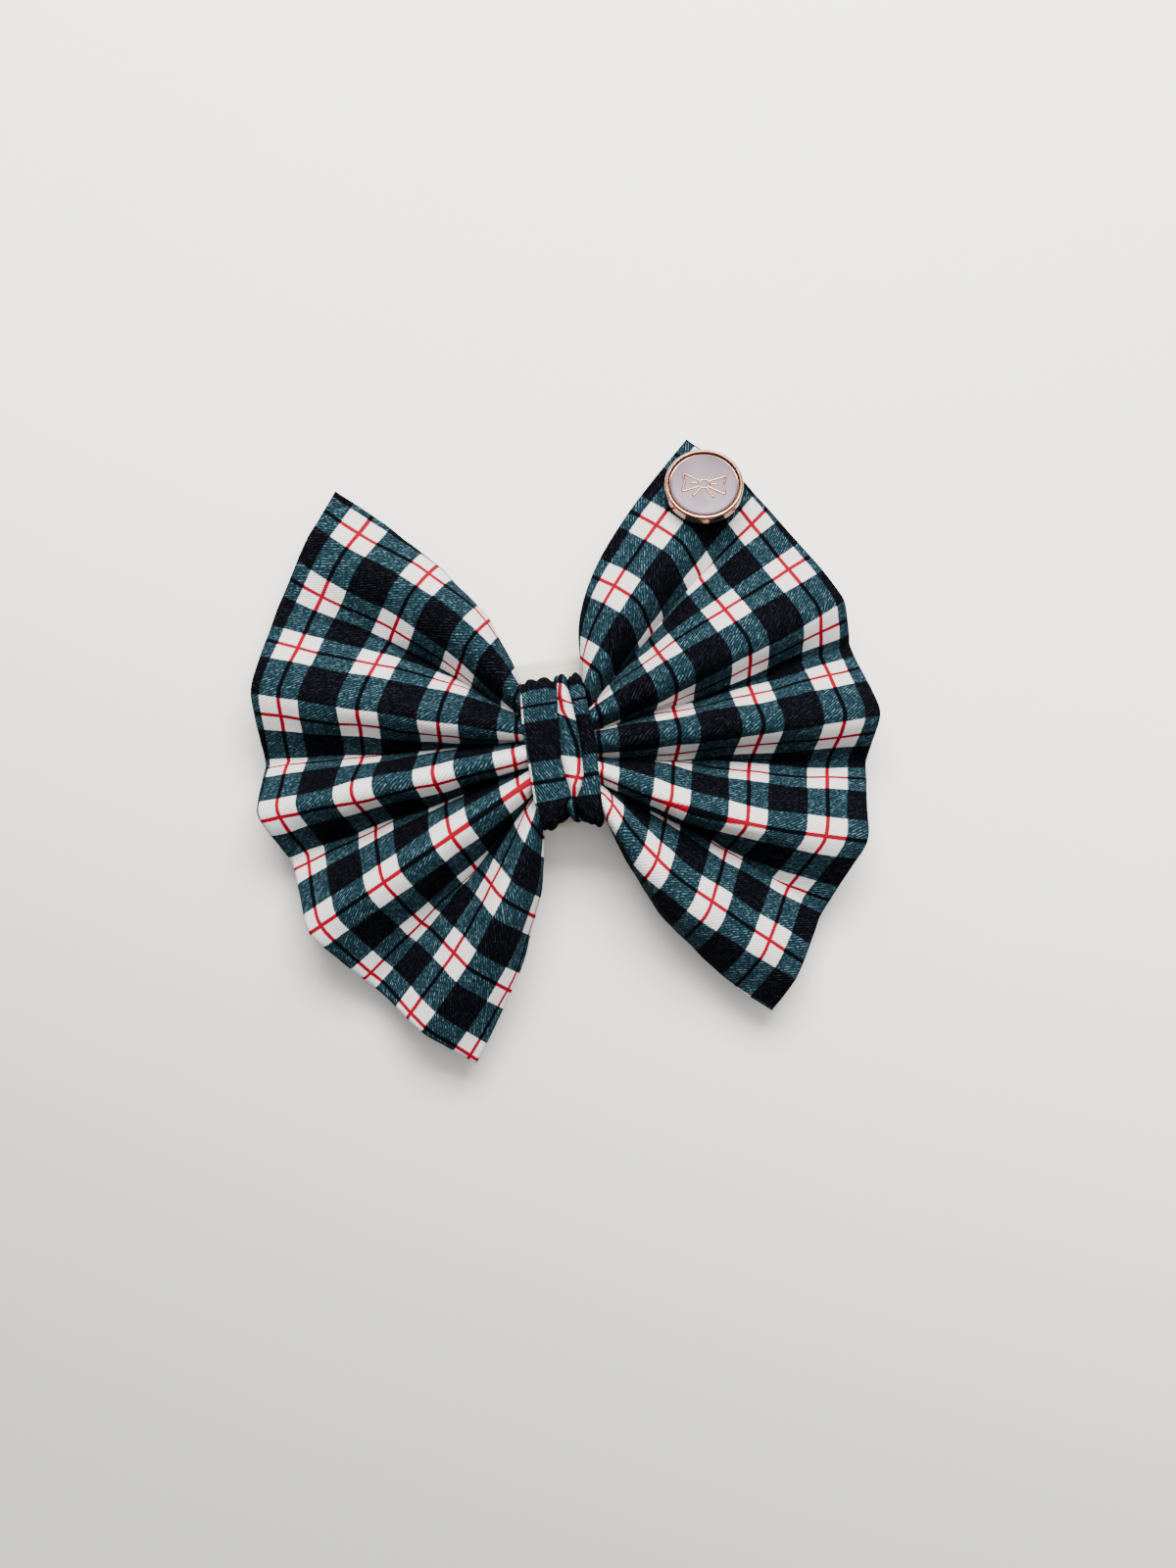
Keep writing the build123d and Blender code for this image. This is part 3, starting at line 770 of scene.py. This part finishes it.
def knot_wrap_piece():
    count, per = 240, (48, 28, 28)
    p, o, run, whole = knot_path(count)
    y_flat = np.where(run < whole / 2, -run, whole - run)  # a length down the front, 0 in its middle
    facing = ease((o[:, 1] + 0.2) / 0.9)  # 1 on the front and 0 behind
    ends = np.exp(-((np.abs(p[:, 0]) - KNOT_INSIDE[0]) ** 2) / 7.0) * ease((p[:, 1] - 10.5) / 8)

    def lay(table, behind):
        ys, xs = zip(*table)
        return lerp(behind, np.interp(p[:, 0], ys, xs), facing)

    def down(ys, values):
        return np.interp(p[:, 0], ys, values)

    first = lay(((-15.5, -1), (-13.5, -1), (-10.5, 0.5), (-6.5, 0), (-2, -0.5), (6, 0), (14, 1)), 0.3)
    second = lay(((-15.5, 1), (-11, 1.5), (-8.5, 3), (-6, 4), (2, 4.5), (10, 4), (14.5, 3.5)), 3.9)
    left = lay(((-15.5, -7.5), (-10, -8), (8, -8), (13.5, -7.5)), -7.1)
    right = lay(((-15.5, 7), (-5.5, 7.5), (1.5, 8), (9.5, 7.5), (15.5, 7)), 7.1)
    line_x = down((-11, -8, -5, -2.5, 1.5, 6.5, 9.5, 12.5, 15), (1, 1.5, 3, 3.5, 3.5, 2.5, 1.5, 1.5, 2.5))
    # How the middle fold's rows climb across it, and how it is nipped in near its foot.
    slant = down((-8, -3, 3, 8, 13), (0.35, 0.3, 0.35, 0.6, 0.95))
    nip = 1 - 0.75 * np.exp(-(((p[:, 0] + 10.9) / 1.8) ** 2)) * facing
    bounds = ((left, first), (first, second), (second, right))
    rise = (1.25, 2.0, 1.0)
    turned = np.sign(y_flat) * np.maximum(np.abs(y_flat) - 10, 0)
    vs = (12.4 - y_flat - np.where(y_flat > 0, 0.85, 0.3) * turned) / KNOT_PLAID
    outer, inner, us, rows_at = [], [], [], []
    for n, ((a, b), high) in enumerate(zip(bounds, rise)):
        for j in range(per[n] + 1):
            if n and j == 0:
                continue
            k = -1 + 2 * j / per[n]
            k = math.copysign(abs(math.sin(k * math.pi / 2)), k)
            x = (a + b) / 2 + (b - a) / 2 * k
            round_k = (1 - abs(k) ** (2.6 if n == 0 else 2.0)) ** (0.5 if n < 2 else 0.6)
            lumps = 0.22 * ripple(x / 9 + n, y_flat / 11, 21 + n) + 0.07 * ripple(x / 3, y_flat / 4, 31 + n)
            wave = np.sqrt(np.abs(np.sin(np.pi * (x + 0.35 * np.sin(1.1 * x)) / 3.1 + 0.9 * n)))
            ruffle = ends * (0.75 + 0.95 * wave) * (0.25 + 0.75 * round_k)
            top = 0.05 + (lerp(0.62, high * (nip if n == 1 else 1), facing) - 0.05) * round_k
            lift = top + lumps * round_k * facing + ruffle
            # The foot of the knot is drawn up between its folds.
            drawn = ease((-p[:, 0] - 9) / 6.5) * np.interp(x, *zip(*FOOT_DRAWN))
            y = p[:, 0] + drawn
            outer.append(np.stack([x, y + o[:, 0] * lift, p[:, 1] + o[:, 1] * lift], 1))
            inner.append(np.stack([x * 0.985, y, p[:, 1]], 1))
            middle = (a + b) / 2
            columns_at = (
                0.80 + (x - left - 0.45) * 0.0605,
                1.55 + (x - line_x) / PLAID,
                1.84 + (x - second) / PLAID,
            )
            us.append(columns_at[n])
            rows_at.append(vs - (x - middle) * slant / KNOT_PLAID if n == 1 else vs)
    outer, inner = np.stack(outer, 1), np.stack(inner, 1)  # round the knot, then across it
    us, rows_at = np.stack(us, 1), np.stack(rows_at, 1)
    rows, columns = outer.shape[:2]
    points = np.concatenate([outer.reshape(-1, 3), inner.reshape(-1, 3)])
    faces_out = grid_faces(rows, columns, 0, False, True)
    faces_in = grid_faces(rows, columns, rows * columns, True, True)
    rim = []
    for i in range(rows):
        here, there = i * columns, (i + 1) % rows * columns
        for c, order in ((0, 1), (columns - 1, -1)):
            q = [here + c, there + c, rows * columns + there + c, rows * columns + here + c]
            rim.append(q[::order])
    faces = np.concatenate([faces_out, faces_in, np.array(rim)])
    r, c = (faces % (rows * columns)) // columns, (faces % (rows * columns)) % columns
    # Each fold shows its own stretch of the strip, so the coordinates jump in the creases.
    centre = c.mean(axis=1)
    one, two = np.minimum(c + 1, columns - 1), np.minimum(c + 2, columns - 1)
    coordinates = []
    for values in (us, rows_at):
        value = values[r, c]
        for edge in (per[0], per[0] + per[1]):
            corner = (c == edge) & (centre > edge)[:, None]
            value = np.where(corner, 2 * values[r, one] - values[r, two], value)
        coordinates.append(value)
    column, row = coordinates
    # The running length jumps behind the knot, where the strip's ends meet.
    jump = np.abs(row.max(axis=1) - row.min(axis=1)) > 1
    row = np.where(jump[:, None], row.min(axis=1, keepdims=True), row)
    # The strip is cut across the cloth, so its rows are the cloth's columns.
    uv = np.stack([0.55 + row, 1.55 - column], 2)
    obj = mesh_object("knot_cloth", points, faces, uv.reshape(-1, 2))
    obj.data.materials.append(plaid)
    return obj


knot = knot_wrap_piece()
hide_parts("knot_wrap")
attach(knot, "bow")

# ---- The elastic -----------------------------------------------------------------------------------------
STRAP_Y = 2.3
STRAP_HALF = 19.5
STRAP_THICK = 1.3
BEND_R = 4.1
BEND_X = 31.25
RUN_LOW = 0.65
RUN_HIGH = 8.85
RUN_LAPPED = 7.49
LAP_HALF = 12  # half the length of the lap behind the knot
LAP_RISE = 6  # how far past the lap the band takes to reach the upper run
RIB_PITCH = 1.3
RIB_HEIGHT = 0.03


def strap_piece():
    lap = [(x, RUN_LAPPED) for x in np.linspace(LAP_HALF, -LAP_HALF, 26)]
    k = np.linspace(0, 1, 11)[1:]
    rise = [(-LAP_HALF - LAP_RISE * a, lerp(RUN_LAPPED, RUN_HIGH, ease(a))) for a in k]
    left = [(x, RUN_HIGH) for x in np.linspace(-LAP_HALF - LAP_RISE, -BEND_X, 12)[1:]]
    half_turn = np.linspace(0, np.pi, 21)[1:]
    bend_z = RUN_LOW + BEND_R
    bend_left = [(-BEND_X - BEND_R * math.sin(a), bend_z + BEND_R * math.cos(a)) for a in half_turn]
    floor_run = [(x, RUN_LOW) for x in np.linspace(-BEND_X, BEND_X, 50)[1:]]
    bend_right = [(BEND_X + BEND_R * math.sin(a), bend_z - BEND_R * math.cos(a)) for a in half_turn]
    top = [(x, RUN_HIGH) for x in np.linspace(BEND_X, -LAP_HALF, 44)[1:]]
    line = np.array(lap + rise + left + bend_left + floor_run + bend_right + top)
    d = np.gradient(line, axis=0)
    d /= np.linalg.norm(d, axis=1, keepdims=True)
    out = np.stack([d[:, 1], -d[:, 0]], 1)
    run = np.concatenate([[0], np.cumsum(np.linalg.norm(np.diff(line, axis=0), axis=1))])
    ys = np.linspace(-STRAP_HALF, STRAP_HALF, 157)
    edge = np.clip((STRAP_HALF - np.abs(ys)) / 0.8, 0, 1)
    thick = STRAP_THICK / 2 * np.sqrt(np.maximum(0.05, 1 - (1 - edge) ** 2))
    ribs = RIB_HEIGHT * np.cos(2 * np.pi * ys / RIB_PITCH)
    half = thick + ribs * edge
    low = np.minimum(half, STRAP_THICK / 2)

    def side(sign):
        g = np.empty((len(line), len(ys), 3))
        g[..., 0] = line[:, None, 0] + sign * out[:, None, 0] * low[None, :]
        g[..., 2] = line[:, None, 1] + sign * out[:, None, 1] * low[None, :]
        g[..., 1] = STRAP_Y + ys[None, :]
        return g

    points, faces = shell(side(-1), side(1))
    uvp = np.stack(np.broadcast_arrays(run[:, None], ys[None, :]), 2).reshape(-1, 2)
    uvp = np.concatenate([uvp, uvp])
    obj = mesh_object("elastic_band", points, faces, uvp[faces.ravel()], "band")
    obj.data.materials.append(elastic)
    return obj


strap = strap_piece()
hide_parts("elastic_strap")
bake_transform(strap)

# ---- Threads ---------------------------------------------------------------------------------------------
for node, material in (
    ("gathering_thread", pale_thread),
    ("knot_closing_stitches", dark_thread),
    ("strap_seam_stitches", pale_thread),
    ("strap_tack_stitches", pale_thread),
):
    o = frame["nodes"][node]
    o.data.materials.clear()
    o.data.materials.append(material)

# ---- The badge -------------------------------------------------------------------------------------------
spin = next(j for j in frame["joints"] if j["name"] == "badge_spin")
badge_at = np.array(spin["pos_m"]) / MM
badge_up = np.array(spin["axis"], float)
badge_up /= np.linalg.norm(badge_up)
badge_x = np.array([1, 0, -badge_up[0] / badge_up[2]])
badge_x /= np.linalg.norm(badge_x)
badge_y = np.cross(badge_up, badge_x)


def on_badge(points):
    p = np.asarray(points, float)
    return badge_at + p[:, :1] * badge_x + p[:, 1:2] * badge_y + p[:, 2:3] * badge_up


def turned(points, degrees):
    a = math.radians(degrees)
    p = np.array(points, float)
    x = p[:, 0] * math.cos(a) - p[:, 1] * math.sin(a)
    y = p[:, 0] * math.sin(a) + p[:, 1] * math.cos(a)
    p[:, 0], p[:, 1] = x, y
    return p


def rounded_loop(corners, radius, steps=6):
    """A closed outline with its corners rounded."""
    c = np.array(corners, float)
    out = []
    for i in range(len(c)):
        a, b, d = c[i - 1], c[i], c[(i + 1) % len(c)]
        to_a, to_d = (a - b) / np.linalg.norm(a - b), (d - b) / np.linalg.norm(d - b)
        start, end = b + to_a * radius, b + to_d * radius
        for k in np.linspace(0, 1, steps):
            out.append((1 - k) ** 2 * start + 2 * k * (1 - k) * b + k * k * end)
    return np.array(out)


def arc_profile(cx, cz, r, a0, a1, n):
    return [(cx + r * math.cos(a), cz + r * math.sin(a)) for a in np.radians(np.linspace(a0, a1, n))]


case_profile = (
    [(0, 0), (0.9, 0), (7.9, 0)]
    + arc_profile(8.0, 1.0, 1.0, -80, 0, 7)
    + [(9.0, 1.6), (9.0, 2.5)]
    + arc_profile(8.45, 2.95, 0.55, 0, 100, 8)
    + arc_profile(8.32, 3.18, 0.2, 110, 180, 5)
    + [(8.1, 2.95), (8.05, 2.62), (7.9, 2.55), (4.0, 2.55), (0, 2.55)]
)
BADGE_SEGMENTS = 128
case = lathe(case_profile, BADGE_SEGMENTS)
MOTIF_Z = 3.26
MOTIF_RADIUS = 0.29
MOTIF_TURN = -14  # degrees
MOTIF_LOOP = ((1.0, 0.72), (4.9, 2.35), (4.5, 0), (4.9, -2.35), (1.0, -0.72))  # one loop of the small bow
motif_lines = []
for sgn in (-1, 1):
    loop = [(sgn * x, y, 0) for x, y in MOTIF_LOOP]
    motif_lines.append((rounded_loop(loop, 0.5), True))
    tail = smooth_line([(sgn * 0.7, -0.95, 0), (sgn * 1.3, -2.0, 0), (sgn * 2.4, -3.3, 0)], 14)
    motif_lines.append((tail, False))
    crease = smooth_line([(sgn * 1.35, 0.0, 0), (sgn * 2.3, 0.12, 0), (sgn * 3.1, 0.0, 0)], 10)
    motif_lines.append((crease, False))
middle = [(-1.0, 1.0, 0), (1.0, 1.0, 0), (1.0, -1.0, 0), (-1.0, -1.0, 0)]
motif_lines.append((rounded_loop(middle, 0.6), True))
motif = []
for line, closed in motif_lines:
    p = turned(line, MOTIF_TURN)
    p[:, 2] = MOTIF_Z
    motif.append(tube(p, MOTIF_RADIUS, closed, 10))
metal_points, metal_faces = joined([case] + motif)
case_piece = mesh_object("badge_case", on_badge(metal_points), metal_faces)
case_piece.data.materials.append(rose_gold)
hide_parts("badge_body")

enamel_profile = [
    (0, 2.6),
    (1.0, 2.6),
    (7.6, 2.6),
    (7.7, 2.75),
    (7.68, 2.98),
    (7.5, 3.10),
    (7.0, 3.18),
    (5.0, 3.27),
    (2.5, 3.32),
    (0, 3.34),
]
enamel_points, enamel_faces = lathe(enamel_profile, BADGE_SEGMENTS)
enamel_piece = mesh_object("badge_face", on_badge(enamel_points), enamel_faces)
enamel_piece.data.materials.append(enamel)
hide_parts("badge_enamel")

post_profile = [
    (0, 0.2),
    (0.55, 0.2),
    (0.55, 0.0),
    (0.9, -0.02),
    (0.85, -0.2),
    (0.55, -0.34),
    (0.55, -7.2),
    (0.42, -7.35),
    (0.42, -7.75),
    (0.55, -7.9),
    (0.52, -8.4),
    (0.3, -9.0),
    (0.1, -9.35),
    (0, -9.4),
]
post_points, post_faces = lathe(post_profile, 40)
post_piece = mesh_object("badge_pin", on_badge(post_points), [f[::-1] for f in post_faces])
post_piece.data.materials.append(steel)
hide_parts("badge_post")

DROP = -4.0  # the clutch's front face, along the post
clutch_profile = (
    [(0.6, -0.15), (1.0, 0.0), (3.1, 0.0)]
    + arc_profile(3.1, -0.5, 0.5, 90, -90, 9)
    + [(2.75, -1.1), (2.5, -1.35), (2.42, -1.7), (2.5, -2.0), (2.42, -2.4), (2.5, -2.8)]
    + arc_profile(2.1, -3.6, 0.4, 0, -90, 6)
    + [(0.9, -4.0), (0.6, -3.85)]
)


def ring_solid(profile, segments):
    """A closed ring turned from an outline that never meets the axis."""
    prof = np.array(profile, float)
    a = np.linspace(0, 2 * np.pi, segments, endpoint=False)
    n = len(prof)
    r, z = prof[:, 0][:, None], np.broadcast_to(prof[:, 1][:, None], (n, segments))
    pts = np.stack([r * np.cos(a), r * np.sin(a), z], 2)
    faces = []
    for i in range(n):
        j = (i + 1) % n
        for k in range(segments):
            m = (k + 1) % segments
            faces.append((j * segments + k, j * segments + m, i * segments + m, i * segments + k))
    return pts.reshape(-1, 3), faces


clutch_points, clutch_faces = ring_solid([(r, z + DROP) for r, z in clutch_profile], 64)
clutch_piece = mesh_object("pin_clutch", on_badge(clutch_points), clutch_faces)
clutch_piece.data.materials.append(rubber)
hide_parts("badge_clutch")

for piece in (case_piece, enamel_piece, post_piece):
    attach(piece, "badge")
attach(clutch_piece, "clutch")

# ---- Floor, light, camera --------------------------------------------------------------------------------


def floor_material():
    s = Shader("studio_floor")
    at = s.place()
    x, y, _ = s.split(at)
    cloud = s.noise(at, 5.0, 3.0)
    scuff = s.noise(at, 60.0, 4.0)
    k = s.math("MULTIPLY_ADD", scuff, 0.25, s.math("MULTIPLY", cloud, 0.75))
    colour = s.mix(k, (0.74, 0.725, 0.70, 1), (0.80, 0.785, 0.76, 1))
    # Painted shade: the floor is painted darker towards the bottom left, standing in for the light's
    # falloff.
    away = s.math("ADD", s.math("MULTIPLY", x, -0.60), s.math("MULTIPLY", y, -1.0))
    painted_falloff_shade = s.math("MULTIPLY", s.step(away, -0.09, 0.24), 0.80)
    colour = s.mix(painted_falloff_shade, colour, (0.27, 0.27, 0.27, 1))
    return s.finish(colour, s.bump(scuff, 0.0002, 0.08), Roughness=0.55)


FLOOR_HALF = 3000.0
FLOOR_Z = -0.05
floor_points = [(FLOOR_HALF * x, FLOOR_HALF * y, FLOOR_Z) for x, y in ((-1, -1), (1, -1), (1, 1), (-1, 1))]
floor = mesh_object("floor", floor_points, [(0, 1, 2, 3)], smooth=False)
floor.data.materials.append(floor_material())

world = bpy.data.worlds.new("studio")
world.use_nodes = True
sky = world.node_tree
background = sky.nodes["Background"]
way = sky.nodes.new("ShaderNodeTexCoord")
axes = sky.nodes.new("ShaderNodeSeparateXYZ")
ramp = sky.nodes.new("ShaderNodeMapRange")
ramp.interpolation_type = "SMOOTHSTEP"
ramp.inputs["From Min"].default_value = -0.7
ramp.inputs["From Max"].default_value = 0.8
ramp.inputs["To Min"].default_value = 0.18
ramp.inputs["To Max"].default_value = 0.85
sky.links.new(way.outputs["Generated"], axes.inputs[0])
sky.links.new(axes.outputs[1], ramp.inputs["Value"])
sky.links.new(ramp.outputs[0], background.inputs["Strength"])
background.inputs["Color"].default_value = (1.0, 0.985, 0.96, 1)
bpy.context.scene.world = world


def area_light(name, at, towards, size, watts, colour=(1, 1, 1)):
    data = bpy.data.lights.new(name, "AREA")
    data.shape = "RECTANGLE"
    data.size, data.size_y = size
    data.energy = watts
    data.color = colour
    obj = bpy.data.objects.new(name, data)
    obj.location = at
    obj.rotation_euler = (Vector(towards) - Vector(at)).to_track_quat("-Z", "Y").to_euler()
    bpy.context.scene.collection.objects.link(obj)
    return obj


area_light("window", (0.16, 0.56, 0.78), (0.02, 0.02, 0), (0.7, 0.45), 40.0, (1.0, 0.985, 0.955))
area_light("ceiling", (0.25, 0.05, 1.5), (0, 0, 0), (1.3, 1.3), 18.0, (0.98, 0.99, 1.0))

# The camera looks straight down. The bow lies turned by this much in the picture.
TURN = math.radians(9)
HEIGHT = 0.62
AIM = (0.00465, -0.00803)
MID_DEPTH = 0.015  # the height at which the view is VIEW_TALL high
VIEW_TALL = 0.360
SENSOR = 36
camera_data = bpy.data.cameras.new("camera")
camera = bpy.data.objects.new("camera", camera_data)
bpy.context.scene.collection.objects.link(camera)
camera.location = (*AIM, HEIGHT)
camera.rotation_euler = (0, 0, -TURN)
camera_data.sensor_fit = "VERTICAL"
camera_data.sensor_height = SENSOR
camera_data.lens = SENSOR * (HEIGHT - MID_DEPTH) / VIEW_TALL
bpy.context.scene.camera = camera
